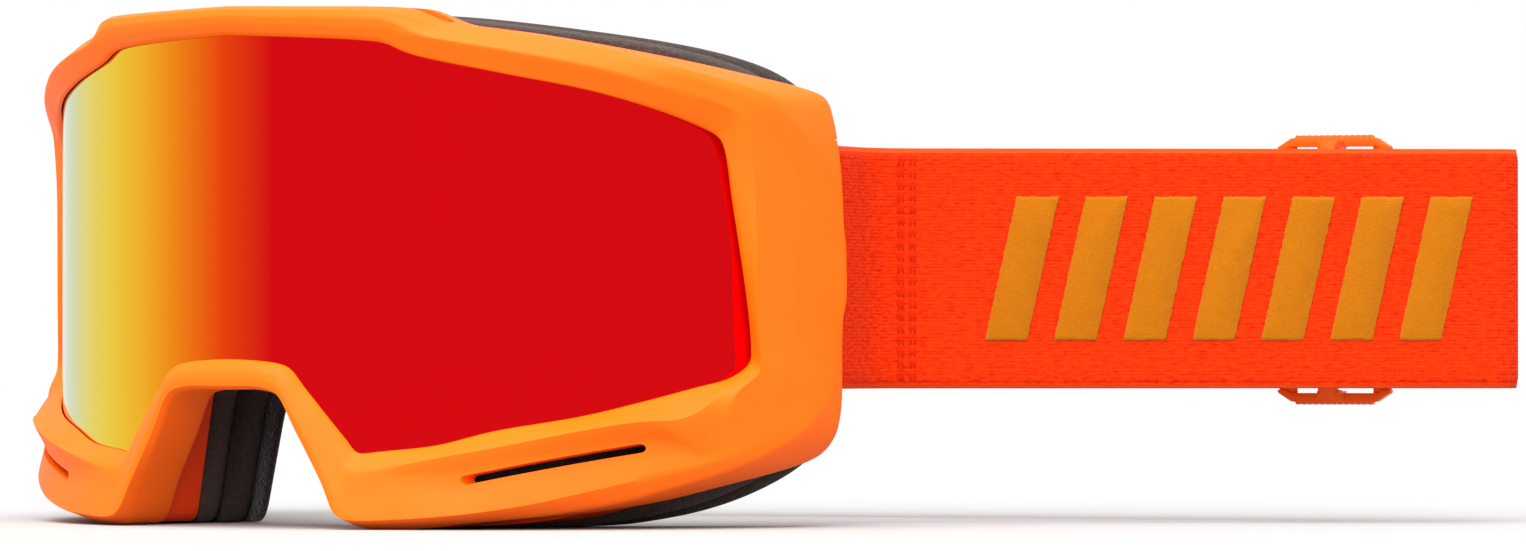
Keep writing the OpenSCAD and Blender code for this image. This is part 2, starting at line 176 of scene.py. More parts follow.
# %% [markdown]
# ## Finishes
# Every piece gets its own chain of noises at the real scale. The frame, the flange and the adjuster
# are matt plastics from a textured mould: one function makes all three, with a fine grain in the
# relief and faint clouds in the colour, because they differ only in colour, gloss and grain.

# %% Moulded plastics
def moulded(name, colour, pale, roughness, grain):
    """A matt plastic with a fine moulded grain and faint clouds in its colour"""
    finish = Finish(name, Roughness=roughness, Specular_IOR_Level=0.15)
    place = finish.place("Object", (1, 1, 1))
    clouds = finish.noise(place, 0.09, 2)
    fine = finish.noise(place, 3.2, 4, 0.6)
    finish.feed(Base_Color=finish.blend(clouds * 0.35 + fine * 0.18, colour, pale),
                Roughness=roughness - 0.06 + fine * 0.14)
    finish.relief(fine, grain)
    return finish.material


frame_plastic = moulded("frame_plastic", (0.90, 0.118, 0.001), (1.0, 0.165, 0.004), 0.52, 0.03)
# The flange's deep red-orange is partly its own colour and partly painted shade: it is darker than the frame so
# that its walls inside the nose arch look shaded.
flange_plastic_and_painted_shade = moulded("flange_plastic_and_painted_shade", (0.85, 0.045, 0.0008), (0.95, 0.075, 0.002), 0.55, 0.03)
adjuster_plastic = moulded("adjuster_plastic", (0.80, 0.085, 0.001), (0.90, 0.12, 0.003), 0.45, 0.02)
print("plastics:", frame_plastic.name, flange_plastic_and_painted_shade.name, adjuster_plastic.name)

# %% [markdown]
# ### Lens finishes
# The outer lens is a mirror whose colour follows the angle at which it is seen, as a thin film's
# does. A picture of that could be painted on, but it would be wrong from every other side, so
# the colours go on a ramp over Layer Weight. The inner lens is a tinted plastic with a faint haze.

# %% Mirror coating
mirror = Finish("red_mirror", Metallic=1.0, Roughness=0.07, Coat_Weight=0.08, Coat_Roughness=0.03)
slant = mirror.node("LayerWeight", Blend=0.5, output=1)
MIRROR_COLOURS = [(0.0, (0.66, 0.0, 0.003)), (0.16, (0.66, 0.0, 0.003)), (0.24, (0.80, 0.05, 0.0)),
                  (0.33, (0.85, 0.20, 0.0)), (0.44, (0.86, 0.42, 0.0)), (0.56, (0.82, 0.56, 0.0)),
                  (0.68, (0.72, 0.60, 0.04)), (0.82, (0.45, 0.55, 0.25))]
mirror.feed(Base_Color=mirror.ramp(slant, MIRROR_COLOURS))
smear = mirror.noise(mirror.place("Object", (0.05, 0.05, 0.02)), 1.0, 2)
mirror.feed(Roughness=0.05 + smear * 0.05)
red_mirror = mirror.material
print("mirror:", len(MIRROR_COLOURS), "colours by slant")

# %% Tint of the inner lens
inner = Finish("inner_lens", Roughness=0.06, Specular_IOR_Level=0.6, Coat_Weight=0.3)
haze = inner.noise(inner.place("Object", (1, 1, 1)), 0.06, 2)
inner.feed(Base_Color=inner.blend(haze, (0.10, 0.045, 0.035), (0.16, 0.075, 0.055)), Alpha=0.82 + haze * 0.1)
inner_tint = inner.material
print("inner lens:", inner_tint.name)

# %% [markdown]
# ### Foams and fleece
# Cut foam shows its cells, and fleece its fibres. Both are a Voronoi pattern of one cell size with
# a finer noise over it, so one function serves all five, and fleece gets a stronger sheen.

# %% Foams and fleece
def foam(name, dark, light, cell, depth, sheen=0.08):
    """A cut foam or a brushed fleece: cells of one size, under clouds of wear"""
    finish = Finish(name, Roughness=0.95, Specular_IOR_Level=0.1, Sheen_Weight=sheen, Sheen_Roughness=0.6)
    place = finish.place("Object", (1, 1, 1))
    cells = finish.node("TexVoronoi", Vector=place, Scale=1 / cell)
    fuzz = finish.noise(place, 0.5 / cell, 5, 0.65)
    clouds = finish.noise(place, 0.07, 3)
    finish.feed(Base_Color=finish.blend(cells * 0.45 + fuzz * 0.3 + clouds * 0.3, dark, light))
    finish.relief(cells * 0.5 + fuzz, depth)
    return finish.material


firm_foam = foam("firm_foam", (0.022, 0.013, 0.010), (0.075, 0.052, 0.046), 0.7, 0.35)
soft_foam = foam("soft_foam", (0.014, 0.008, 0.006), (0.050, 0.034, 0.028), 0.8, 0.4)
fleece = foam("fleece", (0.004, 0.0025, 0.002), (0.022, 0.014, 0.012), 0.5, 0.6, 0.3)
filter_foam = foam("filter_foam", (0.008, 0.007, 0.006), (0.05, 0.045, 0.04), 0.9, 0.6)
gasket_foam = foam("gasket_foam", (0.012, 0.012, 0.012), (0.04, 0.04, 0.04), 0.4, 0.15)
print("foams:", firm_foam.name, soft_foam.name, fleece.name, filter_foam.name, gasket_foam.name)

# %% [markdown]
# ### Strap finishes
# The webbing is heathered: darker flecks lie in a red-orange weave, with a lighter selvedge. The
# strap's UV map holds millimetres along the strap and across it, so the ribs and picks follow
# every bend. Thread, flocked bars and silicone beads are small, and read Object coordinates.

# %% Webbing
web = Finish("webbing", Roughness=0.9, Specular_IOR_Level=0.05, Sheen_Weight=0.02, Sheen_Roughness=0.4)
flat = web.place("UV", (1, 1, 1))
ribs = web.node("TexWave", {"bands_direction": "Y"}, Vector=flat, Scale=0.5, Distortion=0.8,
                Detail=1.0, Detail_Scale=1.2)
picks = web.node("TexWave", {"bands_direction": "X"}, Vector=flat, Scale=0.42, Distortion=1.6,
                 Detail=2.0, Detail_Scale=1.5)
flecks = web.noise(web.place("UV", (0.55, 1.5, 1)), 1.0, 4, 0.7)
clouds = web.noise(web.place("UV", (0.02, 0.05, 1)), 1.0, 2)
tone = web.node("MapRange", Value=flecks, i1=0.42, i2=0.68)
SELVEDGE_FROM = 21.6
heather = web.blend(tone * (0.6 + ribs * 0.25), (0.72, 0.030, 0.0015), (0.36, 0.004, 0.001))
across_web = web.node("SeparateXYZ", Vector=flat, output=1)
selvedge = web.node("Math", {"operation": "ABSOLUTE"}, i0=across_web) > SELVEDGE_FROM
web.feed(Base_Color=web.blend(selvedge * 0.55, heather, (0.85, 0.075, 0.012)))
web.relief(ribs * 0.22 + picks * 0.3 + flecks * 0.8 + clouds, 0.22)
webbing = web.material
print("webbing: selvedge from", SELVEDGE_FROM, "mm off its middle")

# %% Thread, flock and silicone
yarn = Finish("thread", Roughness=0.8, Specular_IOR_Level=0.1)
lie = yarn.place("Object", (1, 1, 1))
twist = yarn.node("TexWave", {"bands_direction": "DIAGONAL"}, Vector=lie, Scale=1.2)
yarn.feed(Base_Color=yarn.blend(twist, (0.50, 0.010, 0.0005), (0.62, 0.02, 0.001)))
yarn.relief(twist, 0.05)
thread = yarn.material

nap = Finish("flock", Roughness=0.95, Specular_IOR_Level=0.1, Sheen_Weight=0.08)
spot = nap.place("Object", (1, 1, 1))
pile = nap.noise(spot, 2.4, 4, 0.7)
rows = nap.noise(spot, 0.5, 2)
nap.feed(Base_Color=nap.blend(pile * 0.7 + rows * 0.3, (0.33, 0.088, 0.0), (0.50, 0.155, 0.0)))
nap.relief(pile, 0.25)
flock = nap.material

rubber = Finish("silicone", Roughness=0.35, Specular_IOR_Level=0.5)
milk = rubber.noise(rubber.place("Object", (1, 1, 1)), 0.6, 2)
rubber.feed(Base_Color=rubber.blend(milk, (0.62, 0.60, 0.56), (0.85, 0.83, 0.80)))
silicone = rubber.material
print("on the webbing:", thread.name, flock.name, silicone.name)

# %% [markdown]
# ## Meshes from sections
# Most pieces of the goggles are one section carried round a closed line. A piece is given as a
# list of stations, each a closed row of points in millimetres, and skin() joins neighbouring
# rows. Subdivision then rounds what the creases don't hold.

# %% Helpers for meshes
def made(name, points, faces, material, uvs=None):
    """A mesh object from points in millimetres, with its normals outward"""
    mesh = bpy.data.meshes.new(name)
    mesh.from_pydata([[c * MM for c in p] for p in points], [], faces)
    if uvs:
        layer = mesh.uv_layers.new(name="flat")
        for loop in mesh.loops:
            layer.data[loop.index].uv = uvs[loop.vertex_index]
    shape = bmesh.new()
    shape.from_mesh(mesh)
    bmesh.ops.recalc_face_normals(shape, faces=shape.faces)
    shape.to_mesh(mesh)
    shape.free()
    mesh.shade_smooth()
    mesh.materials.append(material)
    obj = bpy.data.objects.new(name, mesh)
    scene.collection.objects.link(obj)
    return obj


def skin(stations, closed):
    """Points and faces of a section carried along its stations"""
    n, count = len(stations[0]), len(stations)
    faces = []
    for i in range(count if closed else count - 1):
        a, b = i * n, (i + 1) % count * n
        faces += [(a + k, a + (k + 1) % n, b + (k + 1) % n, b + k) for k in range(n)]
    if not closed:
        faces += [tuple(range(n)), tuple(range((count - 1) * n, count * n))]
    return [p for row in stations for p in row], faces


def crease(obj, stations, closed, values):
    """Sharpens the lines that run along the stations: values maps a row to its crease"""
    n, count = len(stations[0]), len(stations)
    wanted = {}
    for row, value in values.items():
        for i in range(count if closed else count - 1):
            wanted[frozenset((i * n + row, (i + 1) % count * n + row))] = value
    layer = obj.data.attributes.new("crease_edge", "FLOAT", "EDGE")
    for edge in obj.data.edges:
        layer.data[edge.index].value = wanted.get(frozenset(edge.vertices), 0)


def settle(obj):
    """Turns what the modifiers make into the object's own mesh"""
    graph = bpy.context.evaluated_depsgraph_get()
    mesh = bpy.data.meshes.new_from_object(obj.evaluated_get(graph))
    obj.modifiers.clear()
    obj.data = mesh
    return mesh


def rounded(obj, levels):
    obj.modifiers.new("round", "SUBSURF").levels = levels
    obj.modifiers["round"].render_levels = levels


def cut(obj, cutters):
    """Cuts the cutters out of a solid and removes them"""
    for cutter in cutters:
        knife = obj.modifiers.new("cut", "BOOLEAN")
        knife.object, knife.operation, knife.solver = cutter, "DIFFERENCE", "EXACT"
    settle(obj)
    for cutter in cutters:
        bpy.data.objects.remove(cutter)


def fitted(obj, body, slot, *nodes):
    """Hangs a piece on its body and hides the CAD nodes that it stands for"""
    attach(obj, body)
    if nodes:
        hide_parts(*nodes)
    print(obj.name, len(obj.data.polygons), "faces")


def even(knots, rows):
    """A curve through rows at knots that never overshoots them (monotone cubic)"""
    def slope(i, c):
        if i in (0, len(rows) - 1):
            return 0.0
        before = (rows[i][c] - rows[i - 1][c]) / (knots[i] - knots[i - 1])
        after = (rows[i + 1][c] - rows[i][c]) / (knots[i + 1] - knots[i])
        return 2 * before * after / (before + after) if before * after > 0 else 0.0

    def at(i, t):
        h, out = knots[i + 1] - knots[i], []
        for c in range(len(rows[0])):
            a, b = rows[i][c], rows[i + 1][c]
            out.append(a * (1 + 2 * t) * (1 - t) ** 2 + b * t * t * (3 - 2 * t)
                       + slope(i, c) * h * t * (1 - t) ** 2 - slope(i + 1, c) * h * t * t * (1 - t))
        return out
    return at

# %% [markdown]
# ## Frame
# The frame is a ring moulded round the lens, with flat facets over the top, a wing at each
# temple, and a lower lobe on each side whose recess holds a vent slot. Its section changes all the
# way round, so it is lofted through spokes: each spoke crosses the ring from the lens opening to
# the outer edge, and gives for each of its points x, z and the distance from the lens axis. The
# spokes are chosen where the shape turns, and the curves between them never overshoot.

# %% Spokes of the frame
LENS_R = 88.0
REAR = -17.0
WALL = 2.6
SIDE_DEPTH = 10.0


def straight(a, e, radii, at=(0.12, 0.38, 0.64, 0.88)):
    """A spoke whose points lie on one line from a to e"""
    line = [(a[0] + (e[0] - a[0]) * t, a[1] + (e[1] - a[1]) * t) for t in (*at, 1)]
    return [a] + [(*p, r) for p, r in zip(line, radii)]


RIDGE = (0.10, 0.56, 0.62, 0.90)
SPOKES = [
    straight((0, 90.6), (0, 96), (89.6, 90.5, 90.8, 90.3, 88.3)),
    straight((15, 89.9), (16.5, 95.6), (89.6, 90.5, 90.8, 90.3, 88.3)),
    straight((31, 88.8), (34.2, 95.2), (89.6, 90.5, 90.8, 90.2, 88.2)),
    straight((36.5, 86.5), (42, 92.1), (89.3, 90.9, 90.9, 88.2, 87.2), RIDGE),
    straight((50, 83.2), (51.5, 90.6), (89.2, 91.0, 91.0, 87.8, 86.8), RIDGE),
    straight((64, 79.6), (66, 87.3), (89.2, 91.1, 91.1, 89.2, 88.4), RIDGE),
    straight((74.5, 74.5), (77, 83.7), (89.8, 92.0, 92.1, 92.2, 91.8), RIDGE),
    straight((78.4, 70.5), (85.6, 78.6), (90.0, 92.6, 92.9, 93.0, 92.4), RIDGE),
    [(79.2, 60), (80.6, 60.3, 90.2), (84.2, 61, 92.8),
     (86.6, 61.5, 92.0), (88.0, 61.8, 91.3), (88.7, 62, 90.8)],
    [(80.4, 44), (81.8, 43.9, 90.2), (84.3, 43.6, 92.8),
     (86.8, 43.3, 92.0), (88.4, 43.1, 91.2), (89.2, 43, 90.6)],
    [(80.8, 37), (82.1, 36.9, 90.2), (84.4, 36.7, 92.8),
     (86.6, 36.5, 92.0), (88.0, 36.4, 91.3), (88.7, 36.3, 90.7)],
    [(81.0, 31), (82.6, 30.2, 90.6), (84.8, 29, 93.0),
     (86.6, 27.0, 92.4), (88.0, 25.2, 91.6), (88.6, 24, 91.2)],
    [(78.5, 27.2), (80.6, 25.6, 91.6), (82.4, 24.2, 93.3),
     (84.6, 21.6, 92.8), (86.6, 18.9, 92.3), (87.5, 17.5, 92.0)],
    [(76.5, 26.3), (79.6, 21.8, 93.5), (81.2, 18.2, 92.8),
     (82.2, 16.2, 92.6), (83.4, 14.8, 92.5), (84.9, 14.0, 92.0)],
    [(73.5, 24.9), (76.9, 19.9, 94.0), (78.8, 14.6, 92.8),
     (79.6, 13.2, 92.6), (80.3, 12.3, 92.7), (81.6, 10.9, 91.8)],
    [(70.5, 23.6), (73.5, 19.7, 94.0), (74.6, 16.2, 91.6),
     (74.9, 14.3, 91.6), (75.6, 10.4, 92.7), (76.6, 8.3, 91.4)],
    [(62, 20.6), (66, 18.2, 93.7), (66.5, 14.7, 91.5),
     (66.8, 12.2, 91.5), (66.5, 7.2, 92.7), (67.5, 4.7, 90.2)],
    [(50, 18), (54.6, 15.4, 93.0), (55.5, 12.2, 91.5),
     (55.8, 9.8, 91.5), (56.5, 4.3, 92.7), (57, 2.5, 89.0)],
    [(40, 15.2), (44.5, 13.3, 92.4), (46, 10.3, 91.5), (46.3, 7.7, 91.5), (46, 2.6, 92.9), (46, 1.2, 88.2)],
    [(31, 14.2), (34, 11.2, 91.8), (34.5, 9.8, 91.8),
     (34.8, 8.2, 91.9), (36, 1.8, 93.0), (36.5, 0.1, 87.8)],
    [(27.3, 13.8), (27.5, 10.5, 91.4), (28, 8, 91.9), (28.5, 5.5, 92.2), (30, 1.6, 93.2), (30.5, 0, 88.4)],
    [(25.4, 16), (25.6, 12.6, 90.6), (25.8, 9, 91.6),
     (25.9, 6, 92.4), (26.4, 2.2, 93.0), (26.9, 0.6, 88.6)],
    straight((22, 20), (22.9, 7.4), (89.6, 90.8, 91.7, 91.9, 89.4), (0.12, 0.42, 0.7, 0.94)),
    straight((17, 25.8), (16.8, 17), (89.6, 90.6, 91.2, 91.0, 89.4)),
    straight((13, 29.9), (12.1, 24.6), (89.6, 90.6, 91.0, 90.9, 89.4)),
    straight((7, 30.8), (6.5, 25.5), (89.6, 90.6, 90.9, 90.8, 89.4)),
    straight((0, 31.1), (0, 25.4), (89.6, 90.6, 90.9, 90.8, 89.4)),
]


def flatten(spoke):
    return [c for p in spoke for c in p]


knots = [0.0]
for one, two in zip(SPOKES, SPOKES[1:]):
    knots.append(knots[-1] + (math.dist(one[0], two[0]) + math.dist(one[-1][:2], two[-1][:2])) / 2)
print(len(SPOKES), "spokes over", round(knots[-1]), "mm of half ring")

# %% [markdown]
# ### Loft of the frame
# Each section has the six points of its spoke on the front, and behind them a side wall, a hollow
# rear, a ledge and the groove that holds the lens. The groove lies on cylinders about the lens
# axis, so it follows the lens, and near the wings points past a cylinder's reach are held at REAR. The creases keep
# the edges crisp.

# %% Loft of the frame
STEP = 2.0
LIP_R, LIP_FRONT_R, LIP_ROUND = 88.25, 89.0, 0.35
HOLLOW_R, LEDGE_R, GROOVE_R = 87.9, 84.9, 86.6
LEDGE_DEPTH, GROOVE_DEPTH, GROOVE_START = 4.6, 2.6, 0.4
REAR_ROUND, SIDE_LINE = 0.6, 0.25
CREASES = {0: 0.9, 1: 0.5, 2: 0.5, 3: 0.85, 4: 0.75, 5: 0.6, 6: 0.8, 8: 0.5, 9: 0.5}
CREASES.update({row: 1 for row in range(10, 18)})


def section(v):
    """One closed section of the frame: front face, side wall, hollow, ledge and lens groove"""
    a, rows = (v[0], v[1]), [v[i:i + 3] for i in range(2, 17, 3)]
    e, width = rows[-1][:2], math.dist(v[0:2], rows[-1][:2])
    out = ((e[0] - a[0]) / width, (e[1] - a[1]) / width)
    back = SIDE_DEPTH - math.sqrt(max(LENS_R ** 2 - e[0] ** 2, 0))

    def on_cylinder(x, z, r):
        return (x, -math.sqrt(max(r * r - x * x, REAR ** 2)), z)

    def at(d, r):
        return on_cylinder(a[0] + out[0] * d, a[1] + out[1] * d, r)

    side = min(back, REAR)
    depth = min(LEDGE_DEPTH, width - WALL - 0.1)
    groove = min(GROOVE_DEPTH, width - WALL - 0.2)
    wall = (a[0] + out[0] * (width - WALL), a[1] + out[1] * (width - WALL))
    front_y = at(width, rows[-1][2])[1]
    points = [at(0, LIP_R), at(LIP_ROUND, LIP_FRONT_R)]
    points += [on_cylinder(*row) for row in rows]
    points += [(e[0], front_y + (side - front_y) * SIDE_LINE, e[1]), (e[0], side - REAR_ROUND, e[1])]
    points += [(e[0] - out[0] * REAR_ROUND, side, e[1] - out[1] * REAR_ROUND), (wall[0], side, wall[1])]
    points += [at(width - WALL, HOLLOW_R), at(depth, HOLLOW_R), at(depth, LEDGE_R)]
    points += [at(GROOVE_START, LEDGE_R), at(GROOVE_START, GROOVE_R)]
    points += [at(groove, GROOVE_R), at(groove, LIP_R)]
    return points


def ring_of_sections():
    curve = even(knots, [flatten(s) for s in SPOKES])
    half = []
    for i in range(len(SPOKES) - 1):
        count = max(1, round((knots[i + 1] - knots[i]) / STEP))
        half += [section(curve(i, k / count)) for k in range(count)]
    half.append(section(curve(len(SPOKES) - 2, 1)))
    left = [[(-x, y, z) for x, y, z in row] for row in half[-2:0:-1]]
    return half + left


stations = ring_of_sections()
frame_loft = made("frame", *skin(stations, True), frame_plastic)
crease(frame_loft, stations, True, CREASES)
rounded(frame_loft, 2)
settle(frame_loft)
print("frame:", len(stations), "stations,", len(frame_loft.data.polygons), "faces")

# %% [markdown]
# ### Vents
# The slots and the top vents are cut through the finished shape, as a tool's inserts would leave
# them. A slot in the loft itself would need many more spokes, and a boolean leaves crisp walls.

# %% Cutters
def slab(name, outline, low, high, place):
    """A straight prism over an outline; place turns (u, v, depth) into a point"""
    n = len(outline)
    points = [place(u, v, low) for u, v in outline] + [place(u, v, high) for u, v in outline]
    faces = [tuple(range(n)), tuple(range(n, 2 * n))]
    faces += [(i, (i + 1) % n, n + (i + 1) % n, n + i) for i in range(n)]
    obj = made(name, points, faces, frame_plastic)
    obj.data.shade_flat()
    return obj


def stadium(one, two, r, steps=8):
    """Outline of a slot with round ends"""
    heading = math.atan2(two[1] - one[1], two[0] - one[0])
    turn = [math.pi / 2 + math.pi * i / steps for i in range(steps + 1)]
    return [(c[0] + r * math.cos(heading + t + add), c[1] + r * math.sin(heading + t + add))
            for c, add in ((one, 0), (two, math.pi)) for t in turn]


def on_top(angle, r):
    """Places a cutter upright at an angle and a distance round the lens axis"""
    mid = (math.sin(angle) * r, -math.cos(angle) * r)

    def place(u, v, d):
        return (mid[0] + u * math.cos(angle) - v * math.sin(angle),
                mid[1] + u * math.sin(angle) + v * math.cos(angle), d)
    return place


SLOT = stadium((47.6, 9.1), (71.3, 14.8), 0.85)
VENT = stadium((-7, 0), (7, 0), 2.0)
VENT_PITCH, VENT_R = 23, 83.5
cutters = [slab("slot", SLOT, -110, -40, lambda u, v, d: (u, d, v))]
for i in (0.5, 1.5):
    cutters.append(slab("vent", VENT, 84, 104, on_top(math.asin(i * VENT_PITCH / LENS_R), VENT_R)))
print(len(cutters), "vent cutters on the wearer's left")

# %% [markdown]
# ### Pockets behind the wings
# The strap needs room behind each wing for its loop and for its tilt. The pocket follows the inside
# of the wing on a cylinder, and only the left half is cut, because the right one is mirrored.

# %% Pockets and the mirrored half
BAR = (82.98, -15.97)
STRAP_Z, STRAP_W, STRAP_T = 48.0, 45.0, 1.5
POCKET_R, POCKET_FRONT, POCKET_ROOM = 89.4, 11.2, 1.2
POCKET_IN_X, POCKET_OUT_X, POCKET_OUT_Y, POCKET_LAST = 70.4, 95, -13, 80.5
pocket_y = BAR[1] - POCKET_FRONT
first = math.degrees(math.acos(-pocket_y / POCKET_R))
inside = [math.radians(first + (POCKET_LAST - first) * i / 6) for i in range(7)]
pocket = [(POCKET_IN_X, 0), (POCKET_IN_X, pocket_y)]
pocket += [(POCKET_R * math.sin(a), -POCKET_R * math.cos(a)) for a in inside]
pocket += [(POCKET_OUT_X, POCKET_OUT_Y), (POCKET_OUT_X, 0)]
low, high = STRAP_Z - STRAP_W / 2 - POCKET_ROOM, STRAP_Z + STRAP_W / 2 + POCKET_ROOM
cutters.append(slab("pocket", pocket, low, high, lambda u, v, d: (u, v, d)))
cut(frame_loft, cutters)


def both_sides(obj):
    """Keeps the half on the wearer's left and mirrors it, so that both sides are alike"""
    shape = bmesh.new()
    shape.from_mesh(obj.data)
    bmesh.ops.bisect_plane(shape, geom=shape.verts[:] + shape.edges[:] + shape.faces[:], dist=1e-7,
                           plane_co=(0, 0, 0), plane_no=(1, 0, 0), clear_inner=True)
    shape.to_mesh(obj.data)
    shape.free()
    obj.modifiers.new("mirror", "MIRROR").merge_threshold = 1e-5
    settle(obj)
    shape = bmesh.new()
    shape.from_mesh(obj.data)
    bmesh.ops.recalc_face_normals(shape, faces=shape.faces)
    shape.to_mesh(obj.data)
    shape.free()


both_sides(frame_loft)
frame_loft.data.shade_smooth()
frame_loft.data.set_sharp_from_angle(angle=math.radians(38))
fitted(frame_loft, "goggles", "frame_orange", "frame_shell")

# %% [markdown]
# ### Bars that the strap loops round
# Behind each wing a round bar stands between two lugs. They are moulded with the frame, and are
# a piece of their own here because they are turned and not lofted.

# %% Strap bars
BAR_R, LUG_T, LUG_GAP, BAR_SUNK = 1.5, 3.0, 1.3, 0.2
LUG_R, LUG_END_R, LUG_ROUND = 2.6, 2.0, 0.5


def turned(profile, centre, steps=24):
    """Points and faces of a (radius, height) profile turned about a vertical axis"""
    rows = [[(centre[0] + r * math.cos(a), centre[1] + r * math.sin(a), z) for r, z in profile]
            for a in (2 * math.pi * i / steps for i in range(steps))]
    n = len(profile)
    faces = [(i * n + k, (i + 1) % steps * n + k, (i + 1) % steps * n + k + 1, i * n + k + 1)
             for i in range(steps) for k in range(n - 1)]
    ends = [tuple(i * n for i in range(steps)), tuple(i * n + n - 1 for i in range(steps))]
    return [p for row in rows for p in row], faces + ends


def joined(parts):
    """Several lists of points and faces as one"""
    points, faces = [], []
    for more, joins in parts:
        faces += [tuple(i + len(points) for i in f) for f in joins]
        points += more
    return points, faces


reach = STRAP_W / 2 + LUG_GAP
bars = []
for s in (-1, 1):
    low, high = STRAP_Z - reach - LUG_T, STRAP_Z + reach + LUG_T
    bar_profile = [(BAR_R, low + LUG_T - BAR_SUNK), (BAR_R, high - LUG_T + BAR_SUNK)]
    bars.append(turned(bar_profile, (s * BAR[0], BAR[1])))
    for z in (low, high - LUG_T):
        lug = [(LUG_END_R, z), (LUG_R, z + LUG_ROUND)]
        lug += [(LUG_R, z + LUG_T - LUG_ROUND), (LUG_END_R, z + LUG_T)]
        bars.append(turned(lug, (s * BAR[0], BAR[1] - 0.4)))
        bars.append(turned(lug, (s * (BAR[0] + 0.2), BAR[1] - 3.4)))
strap_bars = made("strap_bars", *joined(bars), frame_plastic)
strap_bars.data.set_sharp_from_angle(angle=math.radians(40))
fitted(strap_bars, "goggles", "frame_orange")

# %% [markdown]
# ## Mirror lens
# The lens is a piece of a cylinder, cut to the outline of the opening and tucked under the lip.
# Its reflections show every facet, so it gets a fine grid of its own on the exact cylinder, and
# the outline is cut out of that.

# %% Outline of the lens
TUCK, LENS_T, PER_SPOKE = 2.2, 1.2, 4
opening = []
curve = even(knots, [flatten(s) for s in SPOKES])
for i in range(len(SPOKES) - 1):
    for k in range(PER_SPOKE):
        v = curve(i, k / PER_SPOKE)
        width = math.dist(v[0:2], v[-3:-1])
        opening.append((v[0] + (v[-3] - v[0]) / width * TUCK, v[1] + (v[-2] - v[1]) / width * TUCK))
v = curve(len(SPOKES) - 2, 1)
opening.append((v[0], v[1] - TUCK))
opening += [(-x, z) for x, z in opening[-2:0:-1]]
print("lens outline:", len(opening), "points")

# %% Lens
COLUMNS, LEVELS, WIDEST, GRID_FOOT, GRID_HEIGHT = 180, 30, 72.5, 5, 90
grid, quads = [], []
for r in (LENS_R, LENS_R - LENS_T):
    for i in range(COLUMNS + 1):
        a = math.radians(-WIDEST + 2 * WIDEST * i / COLUMNS)
        grid += [(r * math.sin(a), -r * math.cos(a), GRID_FOOT + GRID_HEIGHT * k / LEVELS)
                 for k in range(LEVELS + 1)]
row, layer = LEVELS + 1, (COLUMNS + 1) * (LEVELS + 1)
for i in range(COLUMNS):
    for k in range(LEVELS):
        a = i * row + k
        quads.append((a, a + 1, a + row + 1, a + row))
        quads.append((layer + a, layer + a + row, layer + a + row + 1, layer + a + 1))
rim = [i * row for i in range(COLUMNS + 1)] + [COLUMNS * row + k for k in range(1, row)]
rim += [i * row + LEVELS for i in range(COLUMNS - 1, -1, -1)] + [k for k in range(LEVELS - 1, 0, -1)]
quads += [(a, b, b + layer, a + layer) for a, b in zip(rim, rim[1:] + rim[:1])]
lens = made("mirror_lens", grid, quads, red_mirror)
punch = slab("punch", opening, -120, 0, lambda u, v, d: (u, d, v))
keep = lens.modifiers.new("outline", "BOOLEAN")
keep.object, keep.operation, keep.solver = punch, "INTERSECT", "EXACT"
settle(lens)
bpy.data.objects.remove(punch)
lens.data.shade_smooth()
lens.data.set_sharp_from_angle(angle=math.radians(30))
fitted(lens, "goggles", "red_mirror", "lens_outer")

# %% [markdown]
# ## Face foam
# Three layers are glued into one pad: firm foam on the flange, soft foam behind it and fleece
# against the face. Each is a ring between an outer and an inner outline, bent like the lens. The
# cut foam bulges a little between its glue lines, and the fleece is crowned towards the face.

# %% Outlines of the foam
def half_outline(corners, steps=6):
    """Points round the corners (x, z, rounding), and where each corner's middle came out"""
    points, marks = [], []
    for i, (x, z, r) in enumerate(corners):
        b = Vector((x, z))
        a = Vector(corners[i - 1][:2]) if i else None
        c = Vector(corners[i + 1][:2]) if i + 1 < len(corners) else None
        if r and a and c:
            s = b + (a - b).normalized() * min(r, (a - b).length * 0.48)
            e = b + (c - b).normalized() * min(r, (c - b).length * 0.48)
            turn = [s.lerp(b, k / steps).lerp(b.lerp(e, k / steps), k / steps) for k in range(steps + 1)]
            marks.append(len(points) + steps // 2)
            points += turn
        else:
            marks.append(len(points))
            points.append(b)
    return points, marks


def walk(points, start, end, count):
    """Evenly spaced points along a stretch of an outline, without its last one"""
    stretch = points[start:end + 1]
    total = sum((q - p).length for p, q in zip(stretch, stretch[1:]))
    out, at, i, gone = [], 0.0, 0, 0.0
    for k in range(count):
        want = total * k / count
        while i < len(stretch) - 2 and gone + (stretch[i + 1] - stretch[i]).length < want:
            gone += (stretch[i + 1] - stretch[i]).length
            i += 1
        step = (stretch[i + 1] - stretch[i]).length
        out.append(stretch[i].lerp(stretch[i + 1], (want - gone) / step if step else 0))
    return out


FACE_X = 78.38
FACE_OPENING = [(0, 79, 0), (38, 77, 14), (64, 68, 14), (68, 46, 20), (64, 27, 12), (38, 17, 10),
                (25, 38, 8), (0, 43, 0)]


def foam_corners(side, foot, crown, rise):
    w = (FACE_X - side) / 79.5
    return [(0, 94.6, 0), (27 * w, 94, 10), (45 * w, 91.9, 8), (66 * w, 88.4, 12), (77 * w, 82.8, 6),
            (79.2 * w, 73, 6), (79.5 * w, 48, 20), (79.2 * w, 21, 8), (78.6 * w, 12.4, 6),
            (68.5 * w, 4.2, 10), (55 * w, 0.9, 8), (41 * w, 0, 4), (foot, 0, 3), (crown, rise, 6),
            (0, rise + 1, 0)]


# Corners of the outer and the inner outline that face each other, and the stations between them
FACING = [(0, 0, 26), (6, 3, 36), (12, 5, 10), (13, 6, 8), (14, 7, 0)]
print("foam opening:", len(FACE_OPENING), "corners on each side")

# %% [markdown]
# ### Rings of foam
# Each ring's section has 13 points: a rear face that may be crowned, a side that bulges between
# the glue lines, a front face, and a bulged side towards the face opening. All are measured from
# the inner edge towards the outer one, so the ring narrows and widens with its outlines.

# %% Rings of foam
WIDEST_X, OFF_FLOOR = 86.0, 0.05


